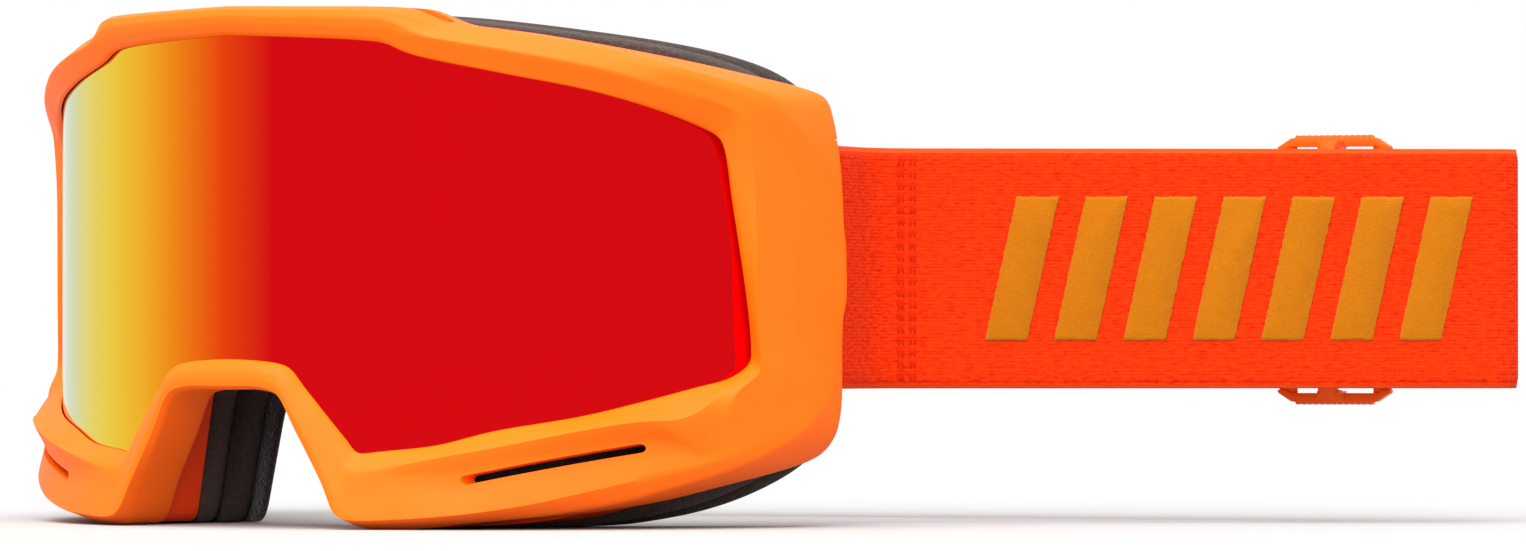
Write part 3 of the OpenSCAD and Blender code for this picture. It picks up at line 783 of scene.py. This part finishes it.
def foam_point(inner, outer, d, back, ahead=0.0):
    """A point d from the inner edge, ahead of the lens cylinder when that is moved back"""
    p = inner + (outer - inner) * (d / (outer - inner).length)
    y = back - math.sqrt(LENS_R ** 2 - min(abs(p.x), WIDEST_X) ** 2)
    return (p.x, y - ahead, max(p.y, OFF_FLOOR))


def foam_ring(name, outer, front, rear, bulge, crown, material):
    """A bent foam ring between two shifts of the lens cylinder to the rear"""
    out_points, out_marks = half_outline(outer)
    in_points, in_marks = half_outline(FACE_OPENING)
    pairs = []
    for (o, i, count), (o2, i2, _) in zip(FACING, FACING[1:]):
        pairs += zip(walk(out_points, out_marks[o], out_marks[o2], count),
                     walk(in_points, in_marks[i], in_marks[i2], count))
    pairs.append((out_points[-1], in_points[-1]))
    pairs += [(Vector((-o.x, o.y)), Vector((-i.x, i.y))) for o, i in pairs[-2:0:-1]]
    rows, thick = [], rear - front
    for o, i in pairs:
        w = (o - i).length
        section = [(1.0, rear, 0), (w * 0.3, rear + crown, 0), (w * 0.7, rear + crown, 0), (w - 1.0, rear, 0),
                   (w + bulge * 0.4, rear, 0.14), (w + bulge, rear, 0.5), (w + bulge * 0.3, rear, 0.9),
                   (w - 0.6, front, 0), (w * 0.5, front, 0), (0.6, front, 0),
                   (-bulge * 0.3, rear, 0.88), (-bulge, rear, 0.5), (-bulge * 0.4, rear, 0.14)]
        rows.append([foam_point(i, o, d, back, share * thick) for d, back, share in section])
    ring = made(name, *skin(rows, True), material)
    rounded(ring, 2)
    settle(ring)
    return ring


FLANGE_BACK, BASE_BACK, MID_BACK, FLEECE_BACK = 19.0, 26.0, 33.0, 35.0
base = foam_ring("foam_base_pad", foam_corners(0, 27, 20, 28.5), FLANGE_BACK, BASE_BACK,
                 0.8, 0, firm_foam)
middle = foam_ring("foam_soft_pad", foam_corners(0.2, 25, 17.5, 28), BASE_BACK, MID_BACK,
                   1.2, 0, soft_foam)
facing = foam_ring("fleece_facing", foam_corners(1.2, 22, 14.5, 27), MID_BACK, FLEECE_BACK,
                   1.0, 0.5, fleece)
for pad, slot, node, fill in ((base, "firm_foam", "foam_base", 0.95), (middle, "soft_foam", "foam_mid", 0.85),
                              (facing, "fleece", "face_fleece", 0.7)):
    fitted(pad, "goggles", slot, node)

# %% [markdown]
# ### Filter foam
# A strip of open-cell foam lies behind every vent. Its cells show through the slots, so the strips
# are small pads with a rough surface of their own.

# %% Filter foams
CELL, ROUGH = 0.55, 0.07


def strip_pad(name, node):
    """A foam strip in the space of its CAD solid, rounded and roughened"""
    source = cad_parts[node]
    shape = bmesh.new()
    shape.from_mesh(source.data)
    bmesh.ops.remove_doubles(shape, verts=shape.verts, dist=1e-5)
    bmesh.ops.recalc_face_normals(shape, faces=shape.faces)
    mesh = bpy.data.meshes.new(name)
    shape.to_mesh(mesh)
    shape.free()
    pad = bpy.data.objects.new(name, mesh)
    scene.collection.objects.link(pad)
    remesh = pad.modifiers.new("cells", "REMESH")
    remesh.mode, remesh.voxel_size = "VOXEL", CELL * MM
    settle(pad)
    rng = random.Random(len(name))
    for vertex in pad.data.vertices:
        vertex.co += Vector([rng.uniform(-ROUGH, ROUGH) * MM for _ in range(3)])
    pad.data.materials.clear()
    pad.data.materials.append(filter_foam)
    pad.data.shade_smooth()
    fitted(pad, "goggles", "filter_foam", node)


for node in ("vent_foam_top", "vent_foam_left", "vent_foam_right"):
    strip_pad(node.replace("vent_foam", "filter_strip"), node)

# %% [markdown]
# ## Strap
# One length of elastic webbing runs from a loop on the left bar, out along the near run, round the
# fold, back along the far run and round the right bar to the adjuster. It is drawn in plan as its
# centre line, from arcs and straight runs, and a section with thin selvedges is carried along it.
# Its UV map holds the distance along the strap, so that the weave follows every bend.

# %% Plan of the strap
GAP, BEND_R, FOLD_R, CORNER_R, STRAIGHT = 0.3, 14.0, 4.5, 6.0, 12.0
NEAR_ANGLE, NEAR_LEN, TILT = math.radians(38), 108.0, math.radians(8)


def heading(a):
    return Vector((math.cos(a), math.sin(a)))


def left_of(a):
    return Vector((-math.sin(a), math.cos(a)))


lay = (STRAP_T + GAP) / 2
run_x = BAR[0] + lay
bend_c = Vector((run_x + BEND_R, BAR[1] + STRAIGHT))
near_start = bend_c + BEND_R * left_of(NEAR_ANGLE)
near_end = near_start + NEAR_LEN * heading(NEAR_ANGLE)
fold_c = near_end + FOLD_R * left_of(NEAR_ANGLE)
corner_c = Vector((-run_x + CORNER_R, BAR[1] + STRAIGHT))
across_plan = corner_c - fold_c
FAR_ANGLE = (math.pi + math.atan(across_plan.y / across_plan.x)
             + math.asin((FOLD_R - CORNER_R) / across_plan.length))
far_out = -left_of(FAR_ANGLE)
far_start, far_end = fold_c + FOLD_R * far_out, corner_c + CORNER_R * far_out
far_len = (far_end - far_start).length
tail_q = STRAP_T + GAP


def bow(centre, r, start, end, step=4.0):
    """Points of an arc, from one angle in degrees to another"""
    n = max(2, math.ceil(abs(end - start) / step))
    return [Vector(centre) + r * heading(math.radians(start + (end - start) * i / n)) for i in range(n + 1)]


def run(start, end, step=3.0):
    """Points of a straight run, without its last one"""
    n = max(1, math.ceil((end - start).length / step))
    return [start.lerp(end, i / n) for i in range(n)]


def loop(bar):
    """The centre line round a bar: out on the bar's left, back on its right"""
    w, give = BAR_R + 0.4 + STRAP_T / 2, STRAP_W / 2 * math.sin(TILT) + 0.05
    low = bar - Vector((0, give))
    out = [bar + Vector(p) for p in ((-lay, STRAIGHT), (-lay - 0.3, STRAIGHT - 2), (-w, give + 0.6))]
    home = [bar + Vector(p) for p in ((w, give + 0.6), (lay + 0.3, STRAIGHT - 2), (lay, STRAIGHT))]
    return out + bow(low, w, 180, 360, 15) + home


left_bar, right_bar = Vector(BAR), Vector((-BAR[0], BAR[1]))
near_deg, far_deg = math.degrees(NEAR_ANGLE), math.degrees(FAR_ANGLE)
print("far run", round(far_len, 1), "mm at", round(far_deg, 2), "degrees")

# %% [markdown]
# ### Webbing along a plan
# Webbing is thinner at its selvedges, where the edge threads are pulled tight. Its section is two
# rows of points that draw together there, and it is carried along the plan, upright all the way.

# %% Webbing along a plan
ACROSS, SELVEDGE_W, SELVEDGE_THIN = 22, 1.6, 0.55


def ribbon(name, plan):
    """Webbing whose centre line is a plan, with thin selvedges and its own flat UV map"""
    section, half = [], STRAP_W / 2
    for side in (1, -1):
        for k in range(ACROSS + 1):
            v = side * (half - 2 * half * k / ACROSS)
            edge = min(1.0, max(0.0, (half - abs(v)) / SELVEDGE_W))
            full = SELVEDGE_THIN + (1 - SELVEDGE_THIN) * math.sqrt(1 - (1 - edge) ** 2)
            section.append((side * (STRAP_T / 2 * full), v))
    length, rows, uvs = 0.0, [], []
    for i, p in enumerate(plan):
        before, after = plan[max(i - 1, 0)], plan[min(i + 1, len(plan) - 1)]
        along = (after - before).normalized()
        side = Vector((-along.y, along.x))
        length += (p - before).length if i else 0
        rows.append([(p.x + side.x * q, p.y + side.y * q, STRAP_Z + v) for q, v in section])
        uvs += [(length, v) for q, v in section]
    return made(name, *skin(rows, False), webbing, uvs)


strap_plan = bow(bend_c, BEND_R + tail_q, 90 + near_deg, 179) + loop(left_bar)
strap_plan += bow(bend_c, BEND_R, 179, 90 + near_deg) + run(near_start, near_end)[1:]
strap_plan += bow(fold_c, FOLD_R, near_deg - 90, far_deg - 90, 8) + run(far_start, far_end)[1:]
strap_plan += bow(corner_c, CORNER_R, far_deg - 90, 179) + loop(right_bar)
strap_plan += bow(corner_c, CORNER_R - tail_q, 179, far_deg - 90)
strap = ribbon("strap", strap_plan)
fitted(strap, "strap", "webbing", "strap_end_left", "strap_near_run", "strap_fold", "strap_far_run",
       "strap_loop_right")

# %% [markdown]
# ### Tail and its last turn
# The free end of the webbing is sewn round the adjuster's centre bar. That turn rides on the
# slider. The tail between it and the right bar shortens as the adjuster travels.

# %% Tail of the strap
ADJ_FROM_FOLD, ADJ_BAR_T, WRAP_HALF = 31.5, 2.2, 2.3
far_way, far_side = heading(FAR_ANGLE), left_of(FAR_ANGLE)


def on_far(u, v=0.0):
    """A point u along the far run from the fold and v towards the head"""
    return far_start + far_way * u + far_side * v


tail_from = ADJ_FROM_FOLD + WRAP_HALF + 13
tail_len = far_len - tail_from
TAIL_END = (*(on_far(far_len) * MM), STRAP_Z * MM)


def shortens(obj):
    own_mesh(obj)


tail_plan = run(on_far(far_len, tail_q), on_far(tail_from, tail_q)) + [on_far(tail_from, tail_q)]
tail = ribbon("strap_tail_webbing", tail_plan)
fitted(tail, "strap", "webbing", "strap_tail")
shortens(tail)
centre_v = tail_q + STRAP_T / 2 + 0.2 + ADJ_BAR_T / 2
bar_u, turn_r = ADJ_FROM_FOLD - WRAP_HALF, centre_v - tail_q
turn_c = on_far(bar_u, centre_v)
wrap_plan = run(on_far(tail_from - 0.1, tail_q), on_far(bar_u, tail_q), 1.5)
wrap_plan += bow(turn_c, turn_r, far_deg - 90, far_deg - 270, 15)
top_v = centre_v + turn_r
low_v, sewn_u = tail_q + STRAP_T + 0.02, ADJ_FROM_FOLD + WRAP_HALF
for t in (0.3, 0.5, 0.7, 0.85, 1.0):
    ease = t * t * (3 - 2 * t)
    wrap_plan.append(on_far(sewn_u + 8.5 * t, top_v + (low_v - top_v) * ease))
wrap_plan += [on_far(sewn_u + 10, low_v), on_far(sewn_u + 12.7, low_v)]
turn = ribbon("tail_turn", wrap_plan)
fitted(turn, "slider", "webbing", "tail_wrap")

# %% [markdown]
# ### Stitches
# The webbing is held by rows of stitches across it. A Geometry Nodes tree puts one short thread
# on each point of a line, and the same tree serves every row.

# %% Stitch tree
def add_input(tree, name, kind, value):
    socket = tree.interface.new_socket(name, in_out="INPUT", socket_type="NodeSocket" + kind)
    socket.default_value = value
    return socket.identifier


stitch_tree = bpy.data.node_groups.new("stitch_row", "GeometryNodeTree")
STITCH_INPUTS = (("Start", "Vector", (0, 0, 0)), ("End", "Vector", (0, 0, 1)), ("Count", "Int", 16),
                 ("Length", "Float", 0.002), ("Thickness", "Float", 0.0006))
SOCKETS = {name: add_input(stitch_tree, name, kind, value) for name, kind, value in STITCH_INPUTS}
stitch_tree.interface.new_socket("Rows", in_out="OUTPUT", socket_type="NodeSocketGeometry")


def tree_node(tree, kind, settings=None, **inputs):
    node = tree.nodes.new(kind)
    for key, value in (settings or {}).items():
        setattr(node, key, value)
    for key, value in inputs.items():
        socket = node.inputs[int(key[1:]) if key[1:].isdigit() else key.replace("_", " ")]
        if isinstance(value, bpy.types.NodeSocket):
            tree.links.new(value, socket)
        else:
            socket.default_value = value
    return node


given = stitch_tree.nodes.new("NodeGroupInput").outputs
line = tree_node(stitch_tree, "GeometryNodeCurvePrimitiveLine", Start=given["Start"], End=given["End"])
spaced = tree_node(stitch_tree, "GeometryNodeResampleCurve", Curve=line.outputs[0], Count=given["Count"])
bead = tree_node(stitch_tree, "GeometryNodeMeshUVSphere", Segments=8, Rings=6, Radius=0.5)
way = tree_node(stitch_tree, "GeometryNodeInputTangent")
facing_way = tree_node(stitch_tree, "FunctionNodeAlignRotationToVector", {"axis": "Z"}, Vector=way.outputs[0])
size = tree_node(stitch_tree, "ShaderNodeCombineXYZ", X=given["Thickness"], Y=given["Thickness"],
                 Z=given["Length"])
placed = tree_node(stitch_tree, "GeometryNodeInstanceOnPoints", Points=spaced.outputs[0],
                   Instance=bead.outputs[0], Rotation=facing_way.outputs[0], Scale=size.outputs[0])
real = tree_node(stitch_tree, "GeometryNodeRealizeInstances", Geometry=placed.outputs[0])
dressed = tree_node(stitch_tree, "GeometryNodeSetMaterial", Geometry=real.outputs[0], Material=thread)
ending = stitch_tree.nodes.new("NodeGroupOutput")
stitch_tree.links.new(dressed.outputs[0], ending.inputs[0])
print("stitch tree:", ", ".join(SOCKETS))


# %% [markdown]
# ### Rows of stitches
# A bar-tack of four rows holds the strap's end beside the left wing, and two rows close the tail's
# last turn. Each row is grown by the tree, turned into a plain mesh and joined with its neighbours.

# %% Rows of stitches
EDGE_CLEAR, STITCHES, STITCH_LEN, STITCH_T, STITCH_RISE = 2.4, 19, 1.9, 0.5, 0.12


def from_tree(name, tree, sockets, **values):
    """The mesh that a tree makes, as an object of its own"""
    obj = bpy.data.objects.new(name, bpy.data.meshes.new(name))
    scene.collection.objects.link(obj)
    grown = obj.modifiers.new("grow", "NODES")
    grown.node_group = tree
    for key, value in values.items():
        grown[sockets[key]] = value
    settle(obj)
    obj.data.shade_smooth()
    return obj


def one_object(name, parts, material=thread):
    """Several objects as one"""
    shape = bmesh.new()
    for part in parts:
        shape.from_mesh(part.data)
    mesh = bpy.data.meshes.new(name)
    shape.to_mesh(mesh)
    shape.free()
    mesh.materials.append(material)
    for face in mesh.polygons:
        face.material_index = 0
    for part in parts:
        bpy.data.objects.remove(part)
    obj = bpy.data.objects.new(name, mesh)
    scene.collection.objects.link(obj)
    return obj


def stitch_row(plan_point):
    """One row of stitches across the webbing at a point of the plan"""
    low, high = STRAP_Z - STRAP_W / 2 + EDGE_CLEAR, STRAP_Z + STRAP_W / 2 - EDGE_CLEAR
    x, y = plan_point
    return from_tree("row", stitch_tree, SOCKETS, Start=[v * MM for v in (x, y, low)],
                     End=[v * MM for v in (x, y, high)], Count=STITCHES, Length=STITCH_LEN * MM,
                     Thickness=STITCH_T * MM)


tack_r = BEND_R - STRAP_T / 2 - STITCH_RISE
tack_ways = [heading(math.radians(90 + near_deg + a)) for a in (5, 8.5, 15, 18.5)]
bartack = one_object("bartack", [stitch_row(bend_c + tack_r * way_out) for way_out in tack_ways])
fitted(bartack, "strap", "thread", "bartack_left")
seam_v = low_v + STRAP_T / 2 + STITCH_RISE
tail_seam = one_object("tail_seam", [stitch_row(on_far(sewn_u + u, seam_v)) for u in (10.2, 12)])
fitted(tail_seam, "slider", "thread", "tail_stitching")

# %% [markdown]
# ### Silicone grips
# Three wavy beads of silicone on the strap's inner face keep it on a helmet. They follow the webbing,
# on the near run and on the tail.

# %% Grip beads
GRIP_PITCH, WAVE, WAVE_LENGTH = 11.0, 1.6, 18.0
BEAD_HALF_W, BEAD_H, BEAD_STEP = 0.75, 0.38, 1.2


def bead_line(name, start, way, side, length, q):
    """Three half-round wavy beads along a straight run of the webbing"""
    parts, steps = [], int(length / BEAD_STEP)
    for k in (-1, 0, 1):
        rows = []
        for i in range(steps + 1):
            u = 1 + (length - 2) * i / steps
            z = STRAP_Z + k * GRIP_PITCH + WAVE * math.sin(2 * math.pi * u / WAVE_LENGTH)
            p = start + way * u
            angles = [math.pi * j / 6 for j in range(7)]
            ring = [(BEAD_HALF_W * math.cos(a), BEAD_H * math.sin(a)) for a in angles]
            rows.append([(p.x + side.x * (q + h), p.y + side.y * (q + h), z + w) for w, h in ring])
        parts.append(skin(rows, False))
    return made(name, *joined(parts), silicone)


near_way, near_side = heading(NEAR_ANGLE), left_of(NEAR_ANGLE)
near_beads = bead_line("grip_beads", near_start, near_way, near_side, NEAR_LEN, STRAP_T / 2)
fitted(near_beads, "strap", "silicone", "grip_lines")
tail_face = tail_q + STRAP_T / 2
tail_beads = bead_line("tail_grip_beads", on_far(tail_from), far_way, far_side, tail_len, tail_face)
fitted(tail_beads, "strap", "silicone", "tail_grip_lines")
shortens(tail_beads)

# %% [markdown]
# ### Flocked bars
# A row of slanted bars is flocked on the outer face of the near run. Flock has no crisp edge, so
# each bar's outline wanders by a tenth of a millimetre before its rim is rounded.

# %% Flocked bars
MOTIF_T, MOTIF_W, MOTIF_H, MOTIF_SLANT = 0.4, 8.0, 27.0, 6.0
MOTIF_PITCH, MOTIF_START, MOTIF_COUNT = 13.0, 12.0, 7
RIM_STEP, RIM_WANDER, SUNK = 0.6, 0.09, 0.02
rng = random.Random(7)
bars = []
for i in range(MOTIF_COUNT):
    corners = [(0, 0), (MOTIF_W, 0), (MOTIF_W + MOTIF_SLANT, MOTIF_H), (MOTIF_SLANT, MOTIF_H)]
    rim = []
    for a, b in zip(corners, corners[1:] + corners[:1]):
        n = int(math.dist(a, b) / RIM_STEP)
        rim += [(a[0] + (b[0] - a[0]) * k / n + rng.uniform(-RIM_WANDER, RIM_WANDER),
                 a[1] + (b[1] - a[1]) * k / n + rng.uniform(-RIM_WANDER, RIM_WANDER)) for k in range(n)]
    mid = ((MOTIF_W + MOTIF_SLANT) / 2, MOTIF_H / 2)
    rows = []
    for grow, q in ((1.0, 0.0), (0.995, 0.7), (0.96, 1.0)):
        ring = []
        for u, v in rim:
            u, v = mid[0] + (u - mid[0]) * grow, mid[1] + (v - mid[1]) * grow
            p = near_start + near_way * (MOTIF_START + i * MOTIF_PITCH + u)
            p -= near_side * (STRAP_T / 2 + MOTIF_T * q - SUNK)
            ring.append((p.x, p.y, STRAP_Z - MOTIF_H / 2 + v))
        rows.append(ring)
    bars.append(skin(rows, False))
flocked = made("flocked_bars", *joined(bars), flock)
fitted(flocked, "strap", "flock", "strap_motif")

# %% [markdown]
# ### Adjuster
# The slider is one moulding: two outer bars over the webbing, a centre bar that the tail turns
# round, and a rail along each edge with a row of grip teeth. Each part of it is a prism, the teeth
# are a loop along the rail's outline, and one Bevel rounds every rim.

# %% Adjuster
ADJ_LEN, ADJ_BAR_W, TEETH, TOOTH_PITCH, TOOTH_H = 22.0, 3.6, 13, 1.18, 0.5
RAIL_T, SLACK, WINDOW, WINDOW_GAP = 2.6, 0.3, 8.4, 1.4
outer_v = -(STRAP_T / 2 + SLACK + ADJ_BAR_T / 2)
rail_v = (outer_v - ADJ_BAR_T / 2, outer_v - ADJ_BAR_T / 2 + RAIL_T)


def rail_outline():
    """Half windows over the webbing's edge, sloping ends, and the teeth on top"""
    end, low, mid, top = ADJ_LEN / 2, 22.9, 23.5, 25.2
    points = [(-end, low), (-9.2, low), (-WINDOW, mid), (-WINDOW_GAP, mid), (-1.0, low), (1.0, low)]
    points += [(WINDOW_GAP, mid), (WINDOW, mid), (9.2, low), (end, low), (end, low + 0.5)]
    points.append((WINDOW, top - 0.1))
    for i in range(TEETH):
        u = ((TEETH - 1) / 2 - i) * TOOTH_PITCH
        points += [(u + 0.5, top), (u + 0.25, top + TOOTH_H), (u - 0.25, top + TOOTH_H), (u - 0.5, top)]
    return points + [(-WINDOW, top - 0.1), (-end, low + 0.5)]


def by_edge(s):
    """Places a prism at the webbing's upper edge (s = 1) or its lower one (s = -1)"""
    return lambda u, w, d: (*on_far(ADJ_FROM_FOLD + u, d), STRAP_Z + s * w)


ARM = [(-2, 23.1), (2, 23.1), (2, 24.5), (-2, 24.5)]
parts = []
for s in (-1, 1):
    parts.append(slab("rail", rail_outline(), *rail_v, by_edge(s)))
    parts.append(slab("arm", ARM, rail_v[0] + 0.3, centre_v + 0.9, by_edge(s)))
    u_bar = ADJ_FROM_FOLD + s * (ADJ_LEN - ADJ_BAR_W) / 2
    parts.append(slab("outer_bar", stadium((-0.7, 0), (0.7, 0), ADJ_BAR_T / 2), -23.6, 23.6,
                      lambda u, v, d: (*on_far(u_bar + u, outer_v + v), STRAP_Z + d)))
parts.append(slab("centre_bar", stadium((-0.9, 0), (0.9, 0), ADJ_BAR_T / 2), -24.2, 24.2,
                  lambda u, v, d: (*on_far(ADJ_FROM_FOLD + u, centre_v + v), STRAP_Z + d)))
slider = one_object("slider_moulding", parts, adjuster_plastic)
rims = slider.modifiers.new("rims", "BEVEL")
rims.width, rims.segments, rims.angle_limit = 0.22 * MM, 2, math.radians(40)
settle(slider)
slider.data.shade_smooth()
slider.data.set_sharp_from_angle(angle=math.radians(40))
fitted(slider, "slider", "adjuster_orange", "adjuster")

# %% [markdown]
# ## Finishes on the CAD's own pieces
# Pieces whose CAD shape is already right keep it and only get their finish.

# %% CAD nodes
# The flange's finish carries painted shade in its deep red-orange.
KEPT = {"face_flange": flange_plastic_and_painted_shade, "lens_spacer": gasket_foam, "lens_inner": inner_tint}
for node, material in KEPT.items():
    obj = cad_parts[node]
    obj.data.materials.clear()
    obj.data.materials.append(material)
print("kept from the CAD:", ", ".join(KEPT))

# %% [markdown]
# ## Studio
# Plain soft light on a plain pale floor: an even white world, and two wide soft suns, one overhead
# and one on the side of the lens, so that facets turned up are brighter than those turned down.
# Suns are chosen over panels because they light the floor evenly as far as the horizon.

# %% Floor, world and lights
scene.view_settings.view_transform = "Standard"
bpy.ops.mesh.primitive_plane_add(size=8)
floor = bpy.context.object
floor.name = "floor"
paper = Finish("paper", Roughness=0.9, Specular_IOR_Level=0.0)
fibre = paper.noise(paper.place("Object", (0.01, 0.01, 0.01)), 1.0, 2)
paper.feed(Base_Color=paper.blend(fibre, (0.365, 0.365, 0.365), (0.385, 0.385, 0.385)))
floor.data.materials.append(paper.material)
world = bpy.data.worlds.new("studio")
scene.world = world
world.use_nodes = True
world.node_tree.nodes["Background"].inputs[0].default_value = (1, 1, 1, 1)
world.node_tree.nodes["Background"].inputs[1].default_value = 1.0


def soft_light(name, azimuth, elevation, spread, strength):
    """A wide soft light from far away, so that the floor is as bright at the horizon as here"""
    light = bpy.data.lights.new(name, "SUN")
    light.angle, light.energy = math.radians(spread), strength * math.pi
    obj = bpy.data.objects.new(name, light)
    scene.collection.objects.link(obj)
    a, e = math.radians(azimuth), math.radians(elevation)
    way = Vector((math.sin(a) * math.cos(e), -math.cos(a) * math.cos(e), math.sin(e)))
    obj.rotation_euler = way.to_track_quat("Z", "Y").to_euler()
    print(name, "from", azimuth, elevation)


soft_light("overhead", 10, 78, 55, 1.3)
soft_light("key", 25, 32, 50, 0.85)
